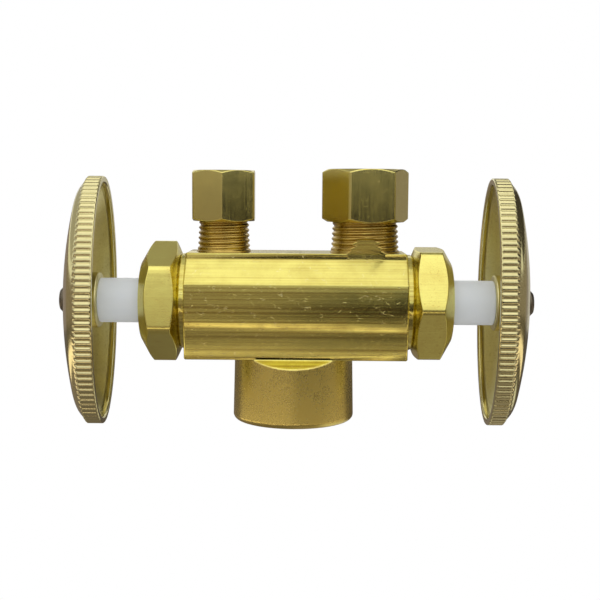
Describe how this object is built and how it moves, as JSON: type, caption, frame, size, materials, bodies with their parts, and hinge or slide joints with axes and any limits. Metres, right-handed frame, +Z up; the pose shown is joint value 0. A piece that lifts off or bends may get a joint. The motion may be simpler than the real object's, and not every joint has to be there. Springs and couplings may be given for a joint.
{
  "type": "dual outlet stop valve",
  "caption": "Brass dual outlet stop valve: inlet boss below, two compression outlets on top, and a shut-off stem with an oval reeded handle on each end.",
  "frame": {"origin": "on the inlet's axis, where the tapped bore starts just inside its mouth", "axes": "+Z up from the inlet towards the outlets, +X along the valve axis towards the large outlet's end, so -Y is the front face"},
  "size_m": [0.0986, 0.0296, 0.0535],
  "materials": {
    "body_brass": "drawn and turned, bright",
    "nut_brass": "machined, faintly dulled",
    "inner_brass": "machined",
    "handle_brass": "pale bright plating",
    "white_acetal": "translucent white, satin",
    "rubber": "matt",
    "screw_steel": "dark plated"
  },
  "bodies": {
    "root": {"valve_body": "body_brass", "left_packing_nut": "nut_brass", "left_packing_washer": "inner_brass", "left_packing_ring": "rubber", "left_friction_ring": "inner_brass", "right_packing_nut": "nut_brass", "right_packing_washer": "inner_brass", "right_packing_ring": "rubber", "right_friction_ring": "inner_brass"},
    "left_seat_closer": {"left_seat_washer": "rubber"},
    "left_spindle": {"left_stem": "white_acetal", "left_washer_screw": "inner_brass", "left_handle": "handle_brass", "left_handle_screw": "screw_steel"},
    "right_seat_closer": {"right_seat_washer": "rubber"},
    "right_spindle": {"right_stem": "white_acetal", "right_washer_screw": "inner_brass", "right_handle": "handle_brass", "right_handle_screw": "screw_steel"},
    "small_sleeve": {"small_ferrule": "inner_brass"},
    "small_nut": {"small_compression_nut": "nut_brass"},
    "large_sleeve": {"large_ferrule": "inner_brass"},
    "large_nut": {"large_compression_nut": "nut_brass"}
  },
  "joints": [
    {"name": "left_stem_travel", "type": "slide", "parent": "root", "child": "left_seat_closer", "axis": [1, 0, 0], "range_m": [0, 0.00381]},
    {"name": "left_stem_turn", "type": "hinge", "parent": "left_seat_closer", "child": "left_spindle", "pos_m": [0.0005, 0, 0.0238], "axis": [1, 0, 0], "range_deg": [0, 1080]},
    {"name": "right_stem_travel", "type": "slide", "parent": "root", "child": "right_seat_closer", "axis": [-1, 0, 0], "range_m": [0, 0.00381]},
    {"name": "right_stem_turn", "type": "hinge", "parent": "right_seat_closer", "child": "right_spindle", "pos_m": [0.0005, 0, 0.0238], "axis": [-1, 0, 0], "range_deg": [0, 1080]},
    {"name": "small_nut_lift", "type": "slide", "parent": "root", "child": "small_sleeve", "axis": [0, 0, 1], "range_m": [0, 0.00529]},
    {"name": "small_nut_turn", "type": "hinge", "parent": "small_sleeve", "child": "small_nut", "pos_m": [-0.01464, 0, 0.0238], "axis": [0, 0, 1], "range_deg": [0, 1800]},
    {"name": "large_nut_lift", "type": "slide", "parent": "root", "child": "large_sleeve", "axis": [0, 0, 1], "range_m": [0, 0.00529]},
    {"name": "large_nut_turn", "type": "hinge", "parent": "large_sleeve", "child": "large_nut", "pos_m": [0.01464, 0, 0.0238], "axis": [0, 0, 1], "range_deg": [0, 1800]}
  ],
  "couplings": [
    {"joint": "left_stem_travel", "follows": "left_stem_turn", "m_per_rad": 0.00020213},
    {"joint": "right_stem_travel", "follows": "right_stem_turn", "m_per_rad": 0.00020213},
    {"joint": "small_nut_lift", "follows": "small_nut_turn", "m_per_rad": 0.00016844},
    {"joint": "large_nut_lift", "follows": "large_nut_turn", "m_per_rad": 0.00016844}
  ]
}
